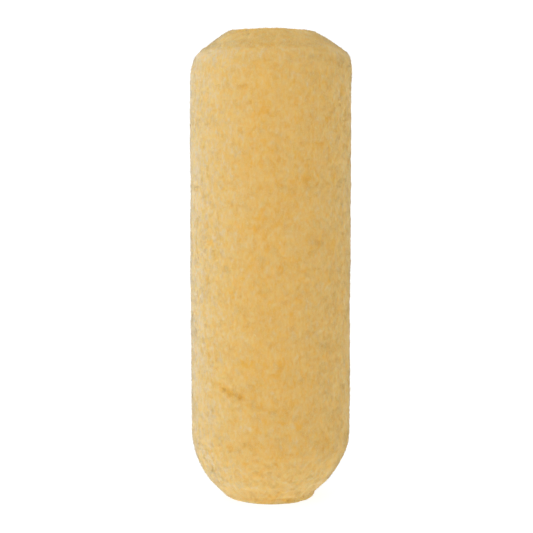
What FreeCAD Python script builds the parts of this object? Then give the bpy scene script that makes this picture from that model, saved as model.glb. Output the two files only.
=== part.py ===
"""Nine-inch paint roller cover (refill sleeve) with a long, soft nap.

The cover is built up the way such covers are. Two plastic strips are wound one over the other into a
tube, with a bonding layer between them. A strip of knitted pile fabric is then wound and bonded round
the outside. Every strip is fed at the same advance, as a left-hand helix with its edges butted, so each
layer has one spiral seam, and no two seams lie over each other. The bore takes the wire cage of a
standard roller frame.

Frame: millimetres, +Z along the sleeve's axis, origin on that axis at the foot of the nap, front at -Y.
The nap is fuller at the +Z end, and tapers more gently at the foot.
"""

import math
import os

import FreeCAD
import Part

# Driving dimensions
core_length = 228.6  # nine inches
bore_radius = 19.05  # a one and a half inch bore
strip_thickness = 0.5  # each of the core's two plastic strips
strip_bond_thickness = 0.3
cover_bond_thickness = 0.25
backing_thickness = 1.05
nap_height = 19.05  # three quarters of an inch, from the cover bond to the fibre tips
nap_proud = 0.7  # how far the nap stands past each end of the core

# Winding
fabric_strip_width = 73.0  # cut width of the pile fabric, two and seven eighths inches
fabric_seam_height = 51.0  # where its seam crosses the front of the sleeve
core_seam_gap = 0.6
fabric_seam_gap = 0.8
seam_overrun = 1.0  # how far a seam cutter runs past its layer, inside and outside

# Ends of the nap: a cut bevel and a tight shoulder at the top, one long arc at the foot
mouth_radius = 22.0  # the nap's inner edge at either end, close round the backing
top_bevel_radius = 32.4  # where the bevel meets the shoulder's arc
top_bevel_drop = 6.8
foot_arc_radius = 42.0

# Worked out from them
inner_strip_outside = bore_radius + strip_thickness
outer_strip_inside = inner_strip_outside + strip_bond_thickness
outer_strip_outside = outer_strip_inside + strip_thickness
backing_inside = outer_strip_outside + cover_bond_thickness
backing_outside = backing_inside + backing_thickness
nap_radius = backing_inside + nap_height
core_foot = nap_proud
core_top = core_foot + core_length
overall_length = core_top + nap_proud
fabric_girth = math.pi * (backing_inside + backing_outside)
lead_angle = math.asin(fabric_strip_width / fabric_girth)
winding_advance = fabric_strip_width / math.cos(lead_angle)
origin = FreeCAD.Vector(0, 0, 0)
up = FreeCAD.Vector(0, 0, 1)


def layer(inside, outside):
    """One layer of the wall as a plain tube, as long as the core."""
    foot = FreeCAD.Vector(0, 0, core_foot)
    solid = Part.makeCylinder(outside, core_length, foot, up)
    return solid.cut(Part.makeCylinder(inside, core_length, foot, up))


def seam_cutter(inside, outside, gap, front_height):
    """A left-hand helical blade as thick as the seam's gap, which crosses the front at front_height."""
    middle = (inside + outside) / 2
    depth = outside - inside + 2 * seam_overrun
    turns_below = math.ceil((front_height - core_foot) / winding_advance) + 1
    turns = math.ceil(core_length / winding_advance) + 3
    helix = Part.makeLongHelix(winding_advance, turns * winding_advance, middle, 0, True)
    blade_height = gap / math.cos(math.atan2(winding_advance, 2 * math.pi * middle))
    near = middle - depth / 2
    far = middle + depth / 2
    corners = [
        FreeCAD.Vector(near, 0, -blade_height / 2),
        FreeCAD.Vector(far, 0, -blade_height / 2),
        FreeCAD.Vector(far, 0, blade_height / 2),
        FreeCAD.Vector(near, 0, blade_height / 2),
        FreeCAD.Vector(near, 0, -blade_height / 2),
    ]
    blade = Part.Wire(helix.Edges).makePipeShell([Part.makePolygon(corners)], True, True)
    blade.rotate(origin, up, -90)
    blade.translate(FreeCAD.Vector(0, 0, front_height - turns_below * winding_advance))
    return blade


def wound_strip(inside, outside, gap, front_height):
    """One layer made of a single strip, wound edge to edge."""
    return layer(inside, outside).cut(seam_cutter(inside, outside, gap, front_height))


def on_outline(radius, height):
    return FreeCAD.Vector(radius, 0, height)


def arc_into_side(arc_radius, turn, end_height, towards):
    """The arc that leaves the nap's side at end_height and turns inwards by turn radians.

    towards is 1 where the arc climbs to the top and -1 where it drops to the foot."""
    def point(angle):
        drop_in = arc_radius * (1 - math.cos(angle))
        return on_outline(nap_radius - drop_in, end_height + towards * arc_radius * math.sin(angle))

    return Part.Arc(point(0), point(turn / 2), point(turn)).toShape()


def nap_ring():
    """The nap as one soft ring: mouth, bevel and shoulder at the top, long arc at the foot."""
    top_turn = math.atan2(top_bevel_radius - mouth_radius, top_bevel_drop)
    top_arc_radius = (nap_radius - top_bevel_radius) / (1 - math.cos(top_turn))
    side_top = overall_length - top_bevel_drop - top_arc_radius * math.sin(top_turn)
    foot_turn = math.acos(1 - (nap_radius - mouth_radius) / foot_arc_radius)
    side_foot = foot_arc_radius * math.sin(foot_turn)
    bevel_foot = on_outline(top_bevel_radius, overall_length - top_bevel_drop)
    top_mouth = on_outline(mouth_radius, overall_length)
    top_inside = on_outline(backing_outside, overall_length)
    foot_inside = on_outline(backing_outside, 0)
    outline = [
        Part.makeLine(foot_inside, on_outline(mouth_radius, 0)),
        arc_into_side(foot_arc_radius, foot_turn, side_foot, -1),
        Part.makeLine(on_outline(nap_radius, side_foot), on_outline(nap_radius, side_top)),
        arc_into_side(top_arc_radius, top_turn, side_top, 1),
        Part.makeLine(bevel_foot, top_mouth),
        Part.makeLine(top_mouth, top_inside),
        Part.makeLine(top_inside, foot_inside),
    ]
    return Part.Face(Part.Wire(Part.__sortEdges__(outline))).revolve(origin, up, 360)


inner_seam_height = fabric_seam_height + winding_advance / 4
outer_seam_height = inner_seam_height + winding_advance / 2
nodes = {
    "core_inner_strip": wound_strip(bore_radius, inner_strip_outside, core_seam_gap, inner_seam_height),
    "core_bond": layer(inner_strip_outside, outer_strip_inside),
    "core_outer_strip": wound_strip(
        outer_strip_inside, outer_strip_outside, core_seam_gap, outer_seam_height
    ),
    "cover_bond": layer(outer_strip_outside, backing_inside),
    "knit_backing": wound_strip(
        backing_inside, backing_outside, fabric_seam_gap, fabric_seam_height
    ),
    "nap": nap_ring(),
}

print(f"advance {winding_advance:.2f} mm a turn, lead angle {math.degrees(lead_angle):.1f} degrees")
os.makedirs("parts", exist_ok=True)
for name, shape in nodes.items():
    piece = shape.Solids[0]
    piece.exportStep(f"parts/{name}.step")
    print(
        f"{name}: {len(shape.Solids)} solid, valid {piece.isValid()}, "
        f"{len(piece.Faces)} faces, {piece.Volume / 1000:.3f} cm3"
    )
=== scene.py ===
# %% [markdown]
# # A paint roller cover with a long golden nap
# A roller cover is a plastic core with a strip of pile fabric wound round it. The core and the bonding
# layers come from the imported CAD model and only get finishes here. The fabric is what the eye sees, so
# its knitted ground and its nap are modelled in this notebook: a soft mass, and over it hundreds of
# thousands of fibres that stand in small tufts.

# %% Load the frame
import math

import bpy
import numpy as np
from mathutils.kdtree import KDTree
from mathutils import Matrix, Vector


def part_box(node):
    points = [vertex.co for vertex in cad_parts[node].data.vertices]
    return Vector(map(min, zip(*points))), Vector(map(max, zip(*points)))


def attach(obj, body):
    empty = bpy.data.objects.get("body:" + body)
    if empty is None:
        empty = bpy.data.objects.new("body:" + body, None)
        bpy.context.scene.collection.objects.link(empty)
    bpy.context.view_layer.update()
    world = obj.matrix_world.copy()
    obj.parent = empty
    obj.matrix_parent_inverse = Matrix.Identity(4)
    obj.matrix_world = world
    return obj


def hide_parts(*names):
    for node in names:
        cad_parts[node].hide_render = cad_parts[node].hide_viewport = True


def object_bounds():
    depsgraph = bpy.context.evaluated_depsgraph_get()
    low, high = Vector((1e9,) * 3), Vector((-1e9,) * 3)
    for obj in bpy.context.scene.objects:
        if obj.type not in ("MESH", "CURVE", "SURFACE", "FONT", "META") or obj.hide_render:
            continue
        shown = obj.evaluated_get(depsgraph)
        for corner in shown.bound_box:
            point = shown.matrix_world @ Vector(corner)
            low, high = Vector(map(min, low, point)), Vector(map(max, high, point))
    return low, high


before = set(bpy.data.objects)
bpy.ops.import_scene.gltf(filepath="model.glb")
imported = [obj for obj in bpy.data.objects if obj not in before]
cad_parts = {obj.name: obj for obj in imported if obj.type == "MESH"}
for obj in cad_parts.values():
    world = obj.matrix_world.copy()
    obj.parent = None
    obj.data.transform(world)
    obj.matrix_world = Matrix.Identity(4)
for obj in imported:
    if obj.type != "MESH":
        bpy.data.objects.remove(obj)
cad_low, cad_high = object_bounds()
MM = 0.001
TURN = 2 * math.pi
print("frame:", sorted(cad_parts))

# %% [markdown]
# ## Sizes
# The frame says how large the nap and its knitted ground are. The few values that it can't say are the
# shape of the nap's two ends: at the top the fibres are cut to a bevel with a tight shoulder below it,
# and at the foot they fall away in one long arc. The fabric strip winds as a left-hand helix, and its
# seam is a faint parting in the nap.

# %% Read the sizes and name the rest
nap_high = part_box("nap")[1]
knit_low, knit_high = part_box("knit_backing")
nap_radius = nap_high[0]
nap_length = nap_high[2]
knit_radius = knit_high[0]

mouth_radius = 22.0 * MM
bevel_radius = 32.4 * MM
bevel_drop = 6.8 * MM
foot_arc_radius = 42.0 * MM
winding_advance = 87.4 * MM
seam_height = 51.0 * MM
print(f"nap {nap_length / MM:.0f} mm long, {2 * nap_radius / MM:.1f} mm across")

# %% [markdown]
# ## Camera
# The sleeve stands on end and is seen from a little above with a long lens. The camera stands slightly
# left of the sleeve's axis and looks straight ahead, so the picture needs no lens shift.

# %% Make the camera
camera_distance = 593 * MM
camera_rise = math.radians(4.57)
camera_aside = -2.0 * MM
camera_lens = 80.4

sleeve_middle = (cad_low + cad_high) / 2
bpy.ops.object.select_all(action="DESELECT")
bpy.ops.object.camera_add(
    location=(
        camera_aside,
        sleeve_middle.y - camera_distance * math.cos(camera_rise),
        sleeve_middle.z + camera_distance * math.sin(camera_rise),
    ),
    rotation=(math.pi / 2 - camera_rise, 0, 0),
)
camera = bpy.context.object
camera.name = "camera"
camera.data.lens = camera_lens
camera.data.clip_start = 0.01
bpy.context.scene.camera = camera
print("camera at", [round(x, 3) for x in camera.location])

# %% [markdown]
# ## Studio
# A white sweep is one sheet that is floor in front and wall behind, with no line between them. It is a
# plane whose back edge is extruded upwards and whose fold is bevelled round. It is lit acrylic, so it
# glows a little and stays white.

# %% Make the sweep
sweep_width = 6.0
sweep_depth = 2.2
sweep_fold = 0.8
sweep_glow = 0.84
near_back = sweep_depth * 0.9


def select_edges(mesh, chosen):
    """Selects the edges whose two end points both pass the test."""
    for edge in mesh.edges:
        edge.select = all(chosen(mesh.vertices[v].co) for v in edge.vertices)


bpy.ops.object.select_all(action="DESELECT")
bpy.ops.mesh.primitive_plane_add(size=1, location=(0, 0, 0))
sweep = bpy.context.object
sweep.name = "sweep"
sweep.scale = (sweep_width, 2 * sweep_depth, 1)
bpy.ops.object.transform_apply(location=False, rotation=False, scale=True)
bpy.ops.object.mode_set(mode="EDIT")
bpy.ops.mesh.select_mode(type="EDGE")
bpy.ops.mesh.select_all(action="DESELECT")
bpy.ops.object.mode_set(mode="OBJECT")
select_edges(sweep.data, lambda p: p.y > near_back)
bpy.ops.object.mode_set(mode="EDIT")
bpy.ops.mesh.extrude_region_move(TRANSFORM_OT_translate={"value": (0, 0, sweep_depth)})
bpy.ops.object.mode_set(mode="OBJECT")
select_edges(sweep.data, lambda p: p.y > near_back and p.z < MM)
bpy.ops.object.mode_set(mode="EDIT")
bpy.ops.mesh.bevel(offset=sweep_fold, segments=16, affect="EDGES")
bpy.ops.object.mode_set(mode="OBJECT")
bpy.ops.object.shade_smooth()

lit_acrylic = bpy.data.materials.new("lit_acrylic")
lit_acrylic.use_nodes = True
acrylic = lit_acrylic.node_tree.nodes["Principled BSDF"]
acrylic.inputs["Base Color"].default_value = (0.3, 0.3, 0.3, 1)
acrylic.inputs["Roughness"].default_value = 0.9
acrylic.inputs["Emission Color"].default_value = (1, 1, 1, 1)
acrylic.inputs["Emission Strength"].default_value = sweep_glow
sweep.data.materials.append(lit_acrylic)
print("sweep:", len(sweep.data.polygons), "faces")

# %% [markdown]
# The light is soft and nearly even. A white surround is weaker on the right, and one wide softbox in
# front on the left brightens that side, so the sleeve reads as round.

# %% Make the lights
surround_left = 0.85
surround_right = 0.45
softbox_watts = 4.7
softbox_size = 0.9

surround = bpy.data.worlds.new("surround")
surround.use_nodes = True
sky = surround.node_tree
heading = sky.nodes.new("ShaderNodeTexCoord")
sideways = sky.nodes.new("ShaderNodeSeparateXYZ")
fall_off = sky.nodes.new("ShaderNodeMapRange")
fall_off.inputs["From Min"].default_value = 0.0
fall_off.inputs["From Max"].default_value = 1.0
fall_off.inputs["To Min"].default_value = surround_left
fall_off.inputs["To Max"].default_value = surround_right
sky.nodes["Background"].inputs["Color"].default_value = (1, 1, 1, 1)
sky.links.new(heading.outputs["Generated"], sideways.inputs["Vector"])
sky.links.new(sideways.outputs["X"], fall_off.inputs["Value"])
sky.links.new(fall_off.outputs["Result"], sky.nodes["Background"].inputs["Strength"])
bpy.context.scene.world = surround
bpy.context.scene.view_settings.view_transform = "Standard"

bpy.ops.object.select_all(action="DESELECT")
bpy.ops.object.light_add(type="AREA", location=(-0.85, -1.2, 0.9))
softbox = bpy.context.object
softbox.name = "left_softbox"
softbox.data.size = softbox_size
softbox.data.energy = softbox_watts
aim = sleeve_middle - softbox.location
softbox.rotation_euler = aim.to_track_quat("-Z", "Y").to_euler()
print("studio:", len(bpy.data.lights), "softbox")

# %% [markdown]
# ## The nap's outline
# Seen from the side, the surface that the fibre tips make is a bevel, an arc, a straight side and
# another arc. A point on it is found from how far along that line it lies, so that tufts can be set out
# evenly over it. Each point comes with its outward direction.

# %% Work out the outline
top_turn = math.atan2(bevel_radius - mouth_radius, bevel_drop)
top_arc_radius = (nap_radius - bevel_radius) / (1 - math.cos(top_turn))
side_top = nap_length - bevel_drop - top_arc_radius * math.sin(top_turn)
foot_turn = math.acos(1 - (nap_radius - mouth_radius) / foot_arc_radius)
side_foot = foot_arc_radius * math.sin(foot_turn)
bevel_run = math.hypot(bevel_radius - mouth_radius, bevel_drop)
shoulder_run = top_arc_radius * top_turn
side_run = side_top - side_foot
foot_run = foot_arc_radius * foot_turn
outline_length = bevel_run + shoulder_run + side_run + foot_run


def outline(along):
    """Radius, height and outward direction (two numbers) of the nap's side view, from the top mouth."""
    along = np.asarray(along, float)
    on_shoulder = along - bevel_run
    on_side = on_shoulder - shoulder_run
    on_foot = on_side - side_run
    shoulder = top_turn - on_shoulder / top_arc_radius
    foot = on_foot / foot_arc_radius
    where = [along < bevel_run, on_shoulder < shoulder_run, on_side < side_run]

    def pick(bevel, arc, side, base):
        return np.select(where, [bevel + 0 * along, arc, side + 0 * along], base)

    share = along / bevel_run
    radius = pick(
        mouth_radius + (bevel_radius - mouth_radius) * share,
        nap_radius - top_arc_radius * (1 - np.cos(shoulder)),
        nap_radius,
        nap_radius - foot_arc_radius * (1 - np.cos(foot)),
    )
    height = pick(
        nap_length - bevel_drop * share,
        side_top + top_arc_radius * np.sin(shoulder),
        side_top - on_side,
        side_foot - foot_arc_radius * np.sin(foot),
    )
    out = pick(math.cos(top_turn), np.cos(shoulder), 1.0, np.cos(foot))
    rise = pick(math.sin(top_turn), np.sin(shoulder), 0.0, -np.sin(foot))
    return radius, height, out, rise


print(f"outline {outline_length / MM:.1f} mm, from mouth to mouth")

# %% [markdown]
# ## Unevenness
# A nap that has been rolled, packed and fluffed is never a perfect cylinder. A few slow waves make it
# swell and dip by up to 0.4 mm. A ridge stands round the shoulder and a lip round the foot, where the
# fibres were cut, and the strip's seam draws it in along a helix, more in some
# places than in others.


# %% Describe the swell
slow_swell = 0.25 * MM
quick_swell = 0.12 * MM
end_wander = 1.2 * MM
ridge_height = 218 * MM
ridge_width = 2.2 * MM
ridge_stand = 0.5 * MM
ridge_dip = 0.5
ridge_dip_above = 4.5 * MM
lip_height = 10.2 * MM
lip_width = 2.0 * MM
lip_stand = 0.2 * MM
lip_dip = 0.15
lip_dip_below = 3.7 * MM


def waves(angle, height, turns, rises, phases):
    """A smooth field between about -1 and 1, the mean of a few slow waves round and along the sleeve."""
    total = 0
    for turn, rise, phase in zip(turns, rises, phases):
        total = total + np.sin(turn * angle + rise * height / nap_length * TURN + phase)
    return total / len(turns)


def ring_at(height, level, width):
    """1 at that level and 0 away from it."""
    return np.exp(-(((height - level) / width) ** 2))


def swell(angle, height):
    """How far the tips stand out past the outline, in metres."""
    slow = waves(angle, height, (1, 2, 3, 2), (1.5, -2.0, 2.5, 4.0), (0.4, 2.1, 4.0, 1.0))
    quick = waves(angle, height, (5, 7, 4, 9), (9.0, -7.0, 13.0, 5.0), (1.7, 0.2, 3.1, 5.0))
    wander = end_wander * waves(angle, 0 * height, (2, 5, 9), (0, 0, 0), (1.0, 3.0, 5.0))
    ridge = ring_at(height + wander, ridge_height, ridge_width)
    ridge = ridge - ridge_dip * ring_at(height, ridge_height + ridge_dip_above, lip_width)
    lip = ring_at(height + wander, lip_height, lip_width)
    lip = lip - lip_dip * ring_at(height, lip_height - lip_dip_below, ridge_width)
    return slow_swell * slow + quick_swell * quick + ridge_stand * ridge + lip_stand * lip


print(f"the tips swell and dip by up to {(slow_swell + quick_swell) / MM:.2f} mm")

# %% [markdown]
# The sleeve is not quite round either. Its top shoulder is pushed over to the right, and its foot is
# worn in, most of all on the right, where it has stood and been handled. The mouths keep their shape.

# %% Describe the push and the wear
push = 1.1 * MM
push_height = 221 * MM
push_reach = 10 * MM
wear_all_round = 2.3 * MM
wear_on_right = 1.6 * MM
wear_height = 28 * MM
wear_curve = 1.3
mouth_margin = 4 * MM


def lopsided(angle, radius, height):
    """How far the nap is off its round outline, level with the floor."""
    pushed = push * ring_at(height, push_height, push_reach) * np.cos(angle)
    low_down = np.clip(1 - height / wear_height, 0, 1) ** wear_curve
    worn = (wear_all_round + wear_on_right * np.cos(angle)) * low_down
    free = np.clip((radius - mouth_radius) / mouth_margin, 0, 1)
    return (pushed - worn) * free


print(f"foot worn by {-lopsided(0.0, nap_radius, 7 * MM) / MM:.1f} mm on the right, 7 mm up")

# %% [markdown]
# The fabric strip's two edges meet along a left-hand helix. The parting hardly shows, except at one
# place low on the left where the nap has opened.

# %% Describe the seam
open_angle = math.radians(-122)
open_turn = 0.3
open_rise = 5 * MM
open_reach = 12 * MM
open_amount = 0.9
usual_amount = 0.08
patchy_amount = 0.15
groove_depth = 0.7 * MM
groove_width = 1.9 * MM


def seam_distance(angle, height, radius):
    """Distance square across the seam, in metres, positive above it."""
    seam = seam_height - winding_advance * (angle + math.pi / 2) / TURN
    rise = (height - seam + winding_advance / 2) % winding_advance - winding_advance / 2
    return rise * np.cos(np.arctan2(winding_advance, TURN * radius))


def seam_strength(angle, height):
    """How open the seam's parting is, from 0 to 1."""
    patch = waves(angle, height, (3, 4, 6), (2.0, -5.0, 7.0), (5.6, 2.5, 1.2))
    way_round = (angle - open_angle + math.pi) % TURN - math.pi
    loose = ring_at(way_round, 0, open_turn) * ring_at(height, seam_height + open_rise, open_reach)
    return np.clip(usual_amount + patchy_amount * patch + open_amount * loose, 0.0, 1.0)


def parting(angle, height, radius):
    """How far the nap has opened at a point, from 0 to 1."""
    across = seam_distance(angle, height, radius)
    return ring_at(across, 0, groove_width) * seam_strength(angle, height)


print(f"the seam climbs {winding_advance / MM:.1f} mm a turn")

# %% [markdown]
# ## Finishes
# Each finish is a small tree of shader nodes. The helpers below add one node each and return its output,
# so that a finish reads as a list of what it is made of. Nearly all of a noise lies between two values.

# %% Make helpers for shader nodes
most_noise = (0.3, 0.7)


def new_tree(name):
    material = bpy.data.materials.new(name)
    material.use_nodes = True
    return material, material.node_tree, material.node_tree.nodes["Principled BSDF"]


def noise(tree, scale, detail=3.0, stretch=(1, 1, 1)):
    """Noise on the piece's own coordinates, in metres, and its number output."""
    place = tree.nodes.new("ShaderNodeTexCoord")
    mapping = tree.nodes.new("ShaderNodeMapping")
    mapping.inputs["Scale"].default_value = stretch
    field = tree.nodes.new("ShaderNodeTexNoise")
    field.inputs["Scale"].default_value = scale
    field.inputs["Detail"].default_value = detail
    tree.links.new(place.outputs["Object"], mapping.inputs["Vector"])
    tree.links.new(mapping.outputs["Vector"], field.inputs["Vector"])
    return field.outputs["Fac"]


def ramp(tree, value, stops):
    """A colour ramp from (position, colour) stops."""
    node = tree.nodes.new("ShaderNodeValToRGB")
    while len(node.color_ramp.elements) < len(stops):
        node.color_ramp.elements.new(0.5)
    for element, (position, colour) in zip(node.color_ramp.elements, stops):
        element.position = position
        element.color = (*colour, 1)
    tree.links.new(value, node.inputs["Fac"])
    return node.outputs["Color"]


def spread(tree, value, low, high, to_low=0.0, to_high=1.0):
    """Maps low..high to to_low..to_high, held inside them."""
    node = tree.nodes.new("ShaderNodeMapRange")
    node.inputs["From Min"].default_value = low
    node.inputs["From Max"].default_value = high
    node.inputs["To Min"].default_value = to_low
    node.inputs["To Max"].default_value = to_high
    tree.links.new(value, node.inputs["Value"])
    return node.outputs["Result"]


def own_place(tree):
    """The three outputs of the piece's own coordinates, in metres."""
    place = tree.nodes.new("ShaderNodeTexCoord")
    split = tree.nodes.new("ShaderNodeSeparateXYZ")
    tree.links.new(place.outputs["Object"], split.inputs["Vector"])
    return split.outputs["X"], split.outputs["Y"], split.outputs["Z"]


def one_step(tree, operation, *values):
    """A Math node on one or two number outputs."""
    node = tree.nodes.new("ShaderNodeMath")
    node.operation = operation
    for number, value in enumerate(values):
        tree.links.new(value, node.inputs[number])
    return node.outputs[0]


def weighted(tree, base, *terms):
    """base plus each term's number output times its weight."""
    total = base
    for value, weight in terms:
        node = tree.nodes.new("ShaderNodeMath")
        node.operation = "MULTIPLY_ADD"
        tree.links.new(value, node.inputs[0])
        node.inputs[1].default_value = weight
        if isinstance(total, float):
            node.inputs[2].default_value = total
        else:
            tree.links.new(total, node.inputs[2])
        total = node.outputs[0]
    return total


def add_bump(tree, shader, height, distance, strength=0.5):
    node = tree.nodes.new("ShaderNodeBump")
    node.inputs["Strength"].default_value = strength
    node.inputs["Distance"].default_value = distance
    tree.links.new(height, node.inputs["Height"])
    tree.links.new(node.outputs["Normal"], shader.inputs["Normal"])


print("helpers ready")

# %% [markdown]
# ### The nap's tones
# The nap runs from gold to cream. The fibres below and the mass between them read one field of tone, so
# a patch that is cream is cream right through. The field is noise at three sizes and a few small deep gold
# spots. It also holds painted light: a slow drift to cream on the left, which stands for the softbox's
# sheen and spill on that side, and rings at the two ends, with cream bands on the shoulder ridge and the
# foot lip and darker gold, painted shade, on the bevel above the ridge and on the foot below the lip.

# %% Describe the nap's tone
deep_gold = (0.93, 0.535, 0.11)
warm_gold = (0.91, 0.62, 0.22)
cream = (0.87, 0.67, 0.37)
pale_cream = (0.85, 0.70, 0.46)
# painted shade: the darker gold at the two ends stands for the shade on the bevel and the foot
end_tones_and_shade = [  # height in mm, and the tone there from 0 for gold to 1 for cream
    (0, 0.42), (6, 0.38), (9, 0.5), (10.6, 0.8), (13, 0.55), (30, 0.5),
    (205, 0.5), (214, 0.55), (218, 0.85), (220.5, 0.42), (230, 0.36),
]


def nap_tone(tree):
    """Where on the sleeve the nap is gold, below zero, and where it is cream, above it."""
    x, y, z = own_place(tree)
    wide = spread(tree, noise(tree, 38, 2.0), *most_noise, -1.0, 1.0)
    middling = spread(tree, noise(tree, 330, 3.0, (1, 1, 0.7)), *most_noise, -1.0, 1.0)
    fine = spread(tree, noise(tree, 850, 2.0, (1, 1, 0.6)), *most_noise, -1.0, 1.0)
    spots = spread(tree, noise(tree, 130, 4.0), 0.6, 0.72)
    # painted light: the left side drifts to cream, standing for the softbox's sheen and spill there
    drift = spread(tree, x, -nap_radius, -0.15 * nap_radius, 1.0, 0.0)
    rise = spread(tree, z, 0.0, nap_length)
    # painted shade at the ends: darker gold on the bevel and the foot, cream bands on the ridge and lip
    end_rings_and_shade = ramp(tree, rise, [(mm * MM / nap_length, (t, t, t)) for mm, t in end_tones_and_shade])
    return weighted(
        tree, -0.23,
        (wide, 0.05), (middling, 0.18), (fine, 0.19), (spots, -0.35), (drift, 0.37), (end_rings_and_shade, 0.5),
    )


# %% [markdown]
# ### The nap's two finishes
# A fibre goes from gold at its root to cream at its tip, and each tuft has a tint of its own. The mass
# between the tufts is painted a little darker, painted shade for the shade deep in the pile, and lets some
# light through. Where the nap has parted, both show more gold, painted shade in the groove. Neither has any
# gloss, only a faint sheen: polyester fibres this fine scatter light like cotton wool.

# %% Make the nap's finishes
# painted shade: the mass is dimmed to stand for the shade deep in the pile
mass_shade_dimming = 0.81
# painted shade: where the nap has parted, the tone turns gold for the shade in the groove
parting_shade_gold = -0.5
nap_sheen = 0.16
glow_depth = 1.5 * MM


def nap_finish(name, base, brightness, *terms):
    """The nap's tone plus each named attribute times its weight, as a finish."""
    material, tree, shader = new_tree(name)
    tone = nap_tone(tree)
    for attribute, weight in terms:
        node = tree.nodes.new("ShaderNodeAttribute")
        node.attribute_name = attribute
        tone = weighted(tree, 0.0, (tone, 1.0), (node.outputs["Fac"], weight))
    tones = [(0.0, deep_gold), (0.5, warm_gold), (0.85, cream), (1.0, pale_cream)]
    stops = [(at, tuple(brightness * part for part in colour)) for at, colour in tones]
    tree.links.new(ramp(tree, weighted(tree, base, (tone, 1.0)), stops), shader.inputs["Base Color"])
    tree.links.new(spread(tree, noise(tree, 300), *most_noise, 0.75, 0.95), shader.inputs["Roughness"])
    shader.inputs["Specular IOR Level"].default_value = 0.0
    shader.inputs["Sheen Weight"].default_value = nap_sheen
    shader.inputs["Sheen Roughness"].default_value = 0.6
    return material, shader


# painted shade: the parting term turns the fibres gold in the groove
fibre_terms = (("along", 0.2), ("tuft_tint", 0.2), ("parting", parting_shade_gold))
golden_nap, _ = nap_finish("golden_nap", 0.2, 1.0, *fibre_terms)
# painted shade: the mass's colours are dimmed for the shade between the tufts
nap_mass, mass_shader = nap_finish("nap_mass", 0.32, mass_shade_dimming, ("parting", parting_shade_gold))
mass_shader.inputs["Subsurface Weight"].default_value = 0.6
mass_shader.inputs["Subsurface Scale"].default_value = glow_depth
mass_shader.inputs["Subsurface Radius"].default_value = (1.0, 0.7, 0.35)
print("finishes:", golden_nap.name, "and", nap_mass.name)

# %% [markdown]
# ## The core and its bonds
# The core is two strips of natural plastic that are wound over each other, with resin between them. The
# plastic is milky, and the winding leaves faint bands along the same helix as the seams. The resin is a
# little yellow and wet-looking. Both are only seen in the bore and on the end rings.


# %% Finish the core and its bonds
bands_a_turn = 6


def helix_bands(tree, count):
    """A wave from -1 to 1 that runs along the winding, count bands to each turn of the strip."""
    x, y, z = own_place(tree)
    angle = one_step(tree, "ARCTAN2", y, x)
    phase = weighted(tree, 0.0, (z, TURN * count / winding_advance), (angle, float(count)))
    return one_step(tree, "SINE", phase)


def milky_plastic():
    material, tree, shader = new_tree("milky_polypropylene")
    bands = helix_bands(tree, bands_a_turn)
    cloud = weighted(tree, 0.0, (noise(tree, 60), 0.8), (bands, 0.08), (noise(tree, 900), 0.2))
    stops = [(0.3, (0.62, 0.60, 0.54)), (0.5, (0.72, 0.70, 0.64)), (0.7, (0.78, 0.77, 0.72))]
    tree.links.new(ramp(tree, cloud, stops), shader.inputs["Base Color"])
    tree.links.new(spread(tree, noise(tree, 400), *most_noise, 0.32, 0.5), shader.inputs["Roughness"])
    shader.inputs["Subsurface Weight"].default_value = 0.25
    shader.inputs["Subsurface Scale"].default_value = 1.0 * MM
    add_bump(tree, shader, weighted(tree, 0.0, (bands, 0.4), (noise(tree, 500), 0.6)), 0.05 * MM)
    return material


def dried_resin():
    material, tree, shader = new_tree("dried_resin")
    colour = ramp(tree, noise(tree, 250), [(0.35, (0.55, 0.42, 0.22)), (0.65, (0.70, 0.58, 0.36))])
    tree.links.new(colour, shader.inputs["Base Color"])
    tree.links.new(spread(tree, noise(tree, 600), *most_noise, 0.2, 0.4), shader.inputs["Roughness"])
    shader.inputs["Subsurface Weight"].default_value = 0.3
    shader.inputs["Subsurface Scale"].default_value = 0.6 * MM
    add_bump(tree, shader, noise(tree, 700), 0.1 * MM)
    return material


core_plastic = milky_plastic()
resin = dried_resin()
for node, material in (
    ("core_inner_strip", core_plastic),
    ("core_outer_strip", core_plastic),
    ("core_bond", resin),
    ("cover_bond", resin),
):
    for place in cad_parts[node].material_slots:
        place.material = material
    print(node, "->", material.name)

# %% [markdown]
# ## The knitted ground
# The nap's fibres are held in a knitted ground, about a millimetre thick, that is glued round the core.
# Only its cut ends show, as a ring of yarn loops inside each mouth. Its wall is drawn as a closed chain
# of edges with rounded ends, and spun round the axis. A spin keeps every step the same size, which the
# loops need.


# %% Spin the knitted ground
def spin_chain(name, chain, steps):
    """A closed chain of (radius, height) points as a solid ring of faces round the axis."""
    data = bpy.data.meshes.new(name)
    links = [(i, (i + 1) % len(chain)) for i in range(len(chain))]
    data.from_pydata([(r, 0, z) for r, z in chain], links, [])
    ring = bpy.data.objects.new(name, data)
    bpy.context.scene.collection.objects.link(ring)
    bpy.ops.object.select_all(action="DESELECT")
    ring.select_set(True)
    bpy.context.view_layer.objects.active = ring
    bpy.ops.object.mode_set(mode="EDIT")
    bpy.ops.mesh.select_all(action="SELECT")
    bpy.ops.mesh.spin(steps=steps, angle=TURN, center=(0, 0, 0), axis=(0, 0, 1))
    bpy.ops.mesh.select_all(action="SELECT")
    bpy.ops.mesh.remove_doubles(threshold=0.01 * MM)
    bpy.ops.mesh.normals_make_consistent(inside=False)
    bpy.ops.object.mode_set(mode="OBJECT")
    bpy.ops.object.shade_smooth()
    print(name, len(data.polygons), "faces")
    return ring


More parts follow.
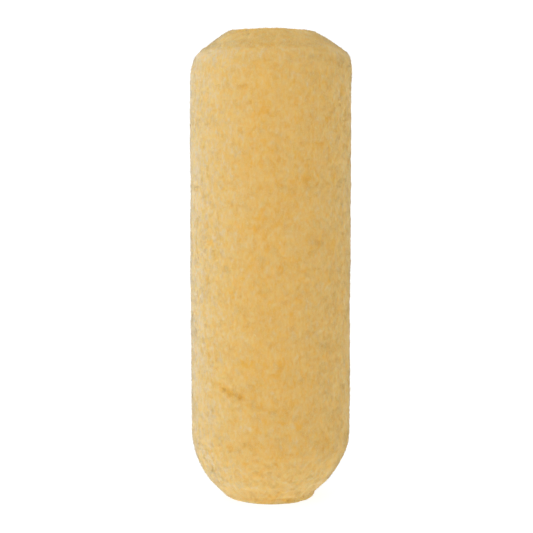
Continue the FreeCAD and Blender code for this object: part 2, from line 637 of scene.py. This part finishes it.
knit_loops = 96
knit_steps_a_loop = 4
knit_courses = 60
knit_rim = 0.35 * MM
knit_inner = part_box("cover_bond")[1][0]
wall = knit_radius - knit_inner
wall_middle = knit_inner + wall / 2
levels = np.linspace(knit_low[2] + knit_rim, knit_high[2] - knit_rim, knit_courses)
half_turn = np.linspace(0, math.pi, 9)[1:-1]
rounded = [(wall_middle + wall / 2 * math.cos(t), knit_rim * math.sin(t)) for t in half_turn]
wall_chain = [(knit_radius, z) for z in levels]
wall_chain += [(r, levels[-1] + z) for r, z in rounded]
wall_chain += [(knit_inner, z) for z in levels[::-1]]
wall_chain += [(r, levels[0] - z) for r, z in rounded[::-1]]
knit = spin_chain("knit_ground", wall_chain, knit_loops * knit_steps_a_loop)

# %% [markdown]
# At the two ends the loops stand out, each a little longer or shorter than the next, and the wall is
# thinner between two loops.

# %% Draw out the loops
loop_length = 0.22 * MM
loop_unevenness = 0.16 * MM
loop_sink = 0.05 * MM
loop_thinning = 0.28
loop_twist = 0.04 * MM
twist_in_wall = 0.3
twist_phase = 0.6


def read_points(mesh):
    flat = np.empty(len(mesh.vertices) * 3)
    mesh.vertices.foreach_get("co", flat)
    return flat.reshape(-1, 3)


def write_points(mesh, points):
    mesh.vertices.foreach_set("co", points.ravel())
    mesh.update()


def round_axis(points):
    """The angle round the axis and the distance from it."""
    return np.arctan2(points[:, 1], points[:, 0]), np.hypot(points[:, 0], points[:, 1])


points = read_points(knit.data)
angle, from_axis = round_axis(points)
wale = np.cos(knit_loops * angle)
past_wall = np.maximum(points[:, 2] - levels[-1], levels[0] - points[:, 2])
at_end = np.clip(past_wall / knit_rim, 0, 1)
outward = np.where(points[:, 2] > nap_length / 2, 1.0, -1.0)
uneven = waves(angle, 0 * angle, (7, 19, 31), (0, 0, 0), (0.4, 2.0, 4.1))
points[:, 2] += outward * at_end * (loop_length * wale + loop_unevenness * uneven - loop_sink)
thinned = 1 - loop_thinning * at_end * (1 - wale) / 2
twist = loop_twist * np.sin(knit_loops * angle + twist_phase) * (twist_in_wall + at_end)
new_radius = wall_middle + (from_axis - wall_middle) * thinned + twist
points[:, :2] *= (new_radius / from_axis)[:, None]
write_points(knit.data, points)
print(knit_loops, "loops round each end")

# %% [markdown]
# The yarn is dull and a little darker than the nap. Its plies wind round it, so the finish has a fine
# slanting wave.

ply_pitch = 0.9 * MM


def knit_yarn():
    material, tree, shader = new_tree("knit_yarn")
    x, y, z = own_place(tree)
    angle = one_step(tree, "ARCTAN2", y, x)
    ply = weighted(tree, 0.0, (angle, 3.0 * knit_loops), (z, TURN / ply_pitch))
    yarn = weighted(tree, 0.1, (noise(tree, 1200), 0.8), (one_step(tree, "SINE", ply), 0.12))
    stops = [(0.3, (0.60, 0.42, 0.16)), (0.5, (0.76, 0.58, 0.27)), (0.75, (0.84, 0.70, 0.42))]
    tree.links.new(ramp(tree, yarn, stops), shader.inputs["Base Color"])
    tree.links.new(spread(tree, noise(tree, 800), *most_noise, 0.75, 0.95), shader.inputs["Roughness"])
    shader.inputs["Sheen Weight"].default_value = 0.2
    add_bump(tree, shader, yarn, 0.12 * MM, 0.7)
    return material


knit.data.materials.append(knit_yarn())
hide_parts("knit_backing")
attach(knit, "root")

# %% [markdown]
# ## The tufts
# The nap is not one even fur: its fibres stand in small tufts. The tufts are set out in staggered rows
# over the outline, each moved a little at random. Each has a tint, a height and a lean of its own.

# %% Set out the tufts
tuft_spacing = 2.9 * MM
tuft_shuffle = 0.36
tint_spread = 0.36
height_spread = 0.12 * MM
lean_drift = 0.3
lean_spread = 0.75
chance = np.random.default_rng(7)
rows = np.arange(tuft_spacing / 2, outline_length, tuft_spacing * math.sqrt(3) / 2)
tuft_angle = []
tuft_along = []
for number, row in enumerate(rows):
    count = round(TURN * float(outline(row)[0]) / tuft_spacing)
    places = (np.arange(count) + 0.5 * (number % 2)) / count * TURN
    tuft_angle.append(places + chance.uniform(-tuft_shuffle, tuft_shuffle, count) * TURN / count)
    tuft_along.append(row + chance.uniform(-tuft_shuffle, tuft_shuffle, count) * tuft_spacing)
tuft_angle = np.concatenate(tuft_angle)
tuft_along = np.clip(np.concatenate(tuft_along), 0, outline_length)
tuft_total = len(tuft_angle)
tuft_tint = np.clip(chance.normal(0.5, tint_spread, tuft_total), 0, 1)
tuft_height = chance.normal(0, height_spread, tuft_total)
tuft_radius, tuft_z, tuft_out, tuft_rise = outline(tuft_along)
drift = waves(tuft_angle, tuft_z, (2, 3, 5, 4), (3.0, -5.0, 8.0, 11.0), (0.3, 2.0, 4.4, 1.9))
lean_way = lean_drift * drift + chance.normal(0, lean_spread, tuft_total)
tuft_lean = np.stack([np.sin(lean_way), -np.cos(lean_way)], 1)
print(tuft_total, "tufts")

# %% [markdown]
# ## The mass of the nap
# A third of a millimetre below their tips the fibres are packed so close that they read as one soft mass. Its
# side view is the outline drawn in by that depth, spun round the axis.

# %% Spin the mass
mass_below = 0.36 * MM
mass_step = 1.2 * MM
mass_turns = 232
inner_radius = knit_radius + 0.05 * MM
thinnest = 0.1 * MM
inner_levels = 24

stations = np.linspace(0, outline_length, int(outline_length / mass_step))
radius, height, out, rise = outline(stations)
skin_radius = np.maximum(radius - mass_below * out, inner_radius + thinnest)
skin_height = height - mass_below * rise
mass_chain = [*zip(skin_radius, skin_height)]
mass_chain += [(inner_radius, z) for z in np.linspace(skin_height[-1], skin_height[0], inner_levels)]
nap_body = spin_chain("nap_body", mass_chain, mass_turns)

# %% [markdown]
# Each point of the mass moves in or out. Tufts make it lumpy, and the swell, the seam and the wear move
# it as they move the tips. Where the sleeve stands, its foot is pressed flat.

# %% Raise the mass under the tufts
lump = 0.3 * MM
lump_reach = 0.62 * tuft_spacing
pressed_level = 0.15 * MM


def cartesian(angle, radius, height):
    return np.stack([radius * np.cos(angle), radius * np.sin(angle), height], -1)


points = read_points(nap_body.data)
angle, from_axis = round_axis(points)
normals = np.empty(points.size)
nap_body.data.vertices.foreach_get("normal", normals)
normals = normals.reshape(-1, 3)
tops = cartesian(tuft_angle, tuft_radius - mass_below * tuft_out, tuft_z - mass_below * tuft_rise)
tufts_near = KDTree(tuft_total)
for index, place in enumerate(tops):
    tufts_near.insert(place, index)
tufts_near.balance()
nearest = np.array([tufts_near.find(p)[2] for p in points])
lumps = lump * (1 - np.clip(nearest / lump_reach, 0, 1) ** 2)
opened = parting(angle, points[:, 2], from_axis)
moved = normals * (lumps + swell(angle, points[:, 2]) - groove_depth * opened)[:, None]
off_round = lopsided(angle, from_axis + mass_below, points[:, 2])[:, None]
moved = moved + cartesian(angle, 1.0, 0 * angle) * off_round
outside = (from_axis > inner_radius + 0.02 * MM)[:, None]
points = points + outside * moved
points[:, 2] = np.maximum(points[:, 2], pressed_level)
write_points(nap_body.data, points)
nap_body.data.attributes.new("parting", "FLOAT", "POINT").data.foreach_set("value", opened)
nap_body.data.materials.append(nap_mass)
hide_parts("nap")
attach(nap_body, "root")
print(f"the mass moved by up to {np.abs(moved).max() / MM:.1f} mm")

# %% [markdown]
# ## One fibre
# One fibre is modelled by hand from a three-sided cone. One corner of its foot is drawn down to be the
# root and the other two are the fibre's flanks, so it is a slim closed sliver of four faces with a bend
# at its middle. The nap needs hundreds of thousands, so each has to be as simple as it can be. The cone
# is the upper half of a fibre that is one unit long.

# %% Model one fibre
half = 0.5
bpy.ops.object.select_all(action="DESELECT")
bpy.ops.mesh.primitive_cone_add(
    vertices=3, radius1=1.0, radius2=0.0, depth=half, location=(0, 0, 1.5 * half)
)
fibre = bpy.context.object
bpy.ops.object.transform_apply(location=True, rotation=False, scale=False)
bpy.ops.object.mode_set(mode="EDIT")
bpy.ops.mesh.select_mode(type="VERT")
bpy.ops.mesh.select_all(action="DESELECT")
bpy.ops.object.mode_set(mode="OBJECT")
foot = min(fibre.data.vertices, key=lambda v: abs(v.co.x) + v.co.z)
foot.select = True
bpy.ops.object.mode_set(mode="EDIT")
bpy.ops.transform.translate(value=(0, 0, -half))
bpy.ops.object.mode_set(mode="OBJECT")
fibre_points = read_points(fibre.data)
fibre_side = np.sign(np.round(fibre_points[:, 0], 3))
fibre_level = fibre_points[:, 2]
fibre_faces = np.array([p.vertices[:] for p in fibre.data.polygons])
bpy.data.objects.remove(fibre)
print("one fibre:", len(fibre_points), "points,", len(fibre_faces), "faces")

# %% [markdown]
# ## Growing the tufts
# The fibres of a tuft start spread out and draw together towards its tip. A tuft leans its own way, and
# near the seam the tufts lean away from it. A fibre is placed by its root and its tip.

# %% Place the fibres of some tufts
fibres_per_tuft = 49
fibre_depth = 1.6 * MM
root_scatter = 1.3 * MM
tip_gather = 0.8
lean_length = 0.9 * MM
lean_scatter = 0.6 * MM
reach_scatter = 0.2
tip_scatter = 0.22 * MM
seam_lean = 0.8 * MM


def surface(angle, along, outwards):
    """A point outwards from the nap's outline, and the outward direction there."""
    radius, height, out, rise = outline(np.clip(along, 0, outline_length))
    shifted = radius + lopsided(angle, radius, height)
    level = np.maximum(height + outwards * rise, pressed_level)
    place = cartesian(angle, shifted + outwards * out, level)
    return place, cartesian(angle, out + 0 * angle, rise + 0 * angle)


def grow(chosen, draw):
    """Root, tip and outward direction of every fibre of the chosen tufts, each (fibres, 3)."""
    shape = (len(chosen), fibres_per_tuft)
    aside = draw.normal(0, root_scatter, shape)
    down = draw.normal(0, root_scatter, shape)
    ring, z, spot_angle, spot_along, tall = (
        values[chosen][:, None] for values in (tuft_radius, tuft_z, tuft_angle, tuft_along, tuft_height)
    )
    stand = swell(spot_angle, z)
    opened = parting(spot_angle, z, ring)
    aside_seam = np.sign(seam_distance(spot_angle, z, ring))
    reach = lean_length * (1 + draw.normal(0, reach_scatter, shape))
    lean_aside = tuft_lean[chosen][:, :1] * reach + draw.normal(0, lean_scatter, shape)
    lean_down = tuft_lean[chosen][:, 1:] * reach - aside_seam * seam_lean * opened
    lean_down = lean_down + draw.normal(0, lean_scatter, shape)
    tip_out = stand + tall + draw.normal(0, tip_scatter, shape) - groove_depth * opened
    root, _ = surface(spot_angle + aside / ring, spot_along + down, stand - fibre_depth)
    tip_angle = spot_angle + (aside * tip_gather + lean_aside) / ring
    tip, outwards = surface(tip_angle, spot_along + down * tip_gather + lean_down, tip_out)
    return root.reshape(-1, 3), tip.reshape(-1, 3), outwards.reshape(-1, 3)


print("a tuft holds", fibres_per_tuft, "fibres")

# %% [markdown]
# The copies of the fibre are laid in one mesh for each band of the sleeve. A fibre's broad side faces
# outwards. Its shading normals mostly point straight out of the nap too, and tilt only a little towards
# its flanks and tip, because light scatters between real fibres until they have no hard sides.

# %% Lay the fibres in a mesh
fibre_width = 0.07 * MM
fibre_bow = 0.18 * MM
flank_scatter = 0.15
soft_tilt = 0.3


def unit(vectors):
    return vectors / np.linalg.norm(vectors, axis=-1, keepdims=True)


def lay_fibres(name, root, tip, outwards, draw):
    """One mesh with a copy of the fibre from each root to its tip."""
    line = unit(tip - root)
    flank = unit(np.cross(line + draw.normal(0, flank_scatter, line.shape), outwards))
    ridge = np.cross(flank, line)
    level = fibre_level[None, :, None]
    side = fibre_side[None, :, None]
    bend = (1 - np.abs(2 * level - 1)) * fibre_bow
    points = root[:, None] * (1 - level) + tip[:, None] * level
    points = points + ridge[:, None] * bend + flank[:, None] * side * fibre_width
    faces = (fibre_faces[None] + (np.arange(len(root)) * len(fibre_points))[:, None, None]).reshape(-1, 3)
    data = bpy.data.meshes.new(name)
    data.vertices.add(points.size // 3)
    data.vertices.foreach_set("co", points.ravel())
    data.loops.add(faces.size)
    data.loops.foreach_set("vertex_index", faces.ravel())
    data.polygons.add(len(faces))
    data.polygons.foreach_set("loop_start", np.arange(len(faces)) * 3)
    data.polygons.foreach_set("use_smooth", np.ones(len(faces), bool))
    data.update(calc_edges=True)
    tilted = soft_tilt * (flank[:, None] * side + line[:, None] * (2 * level - 1))
    soft_normals = unit(outwards[:, None] + tilted).reshape(-1, 3)
    data.normals_split_custom_set_from_vertices(soft_normals.tolist())
    return data


print(f"a fibre is {2 * fibre_width / MM:.2f} mm wide")

# %% [markdown]
# Every fibre carries three numbers for its finish: how far along it a point is, its tint, and how far
# the nap has parted there. It also has a place in a picture of the whole nap, unrolled: its cell is
# found from its angle and its height, its width runs across the cell and its length up it. A finish that
# is baked to a picture needs that.

# %% Give the fibres their numbers and their place
cells = 128
cell_half_width = 0.3
cell_margin = 0.1


def dress_fibres(data, tip, tint):
    count = len(tip)
    data.attributes.new("along", "FLOAT", "POINT").data.foreach_set("value", np.tile(fibre_level, count))
    tints = np.repeat(tint, len(fibre_points))
    data.attributes.new("tuft_tint", "FLOAT", "POINT").data.foreach_set("value", tints)
    angle, from_axis = round_axis(tip)
    openings = np.repeat(parting(angle, tip[:, 2], from_axis), len(fibre_points))
    data.attributes.new("parting", "FLOAT", "POINT").data.foreach_set("value", openings)
    column = np.floor((angle % TURN) / TURN * cells)
    row = np.floor(np.clip(tip[:, 2] / nap_length, 0, 0.999) * cells)
    corner = np.tile(fibre_faces.ravel(), count)
    owner = np.repeat(np.arange(count), fibre_faces.size)
    u = (column[owner] + 0.5 + cell_half_width * fibre_side[corner]) / cells
    v = (row[owner] + cell_margin + (1 - 2 * cell_margin) * fibre_level[corner]) / cells
    data.uv_layers.new(name="OFBake").data.foreach_set("uv", np.stack([u, v], 1).ravel())


print("unrolled nap:", cells, "by", cells, "cells")

# %% [markdown]
# The tufts are grown in bands from the top to the foot, so that each piece stays a size that is easy to
# handle.

# %% Grow the bands
bands = 8
tint_scatter = 0.12

for number, chosen in enumerate(np.array_split(np.argsort(-tuft_z, kind="stable"), bands)):
    draw = np.random.default_rng(100 + number)
    root, tip, outwards = grow(chosen, draw)
    tint = np.repeat(tuft_tint[chosen], fibres_per_tuft) + draw.normal(0, tint_scatter, len(root))
    data = lay_fibres(f"nap_tufts_{number + 1}", root, tip, outwards, draw)
    dress_fibres(data, tip, np.clip(tint, 0, 1))
    data.materials.append(golden_nap)
    band = bpy.data.objects.new(data.name, data)
    bpy.context.scene.collection.objects.link(band)
    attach(band, "root")
    print(band.name, len(data.polygons), "faces")
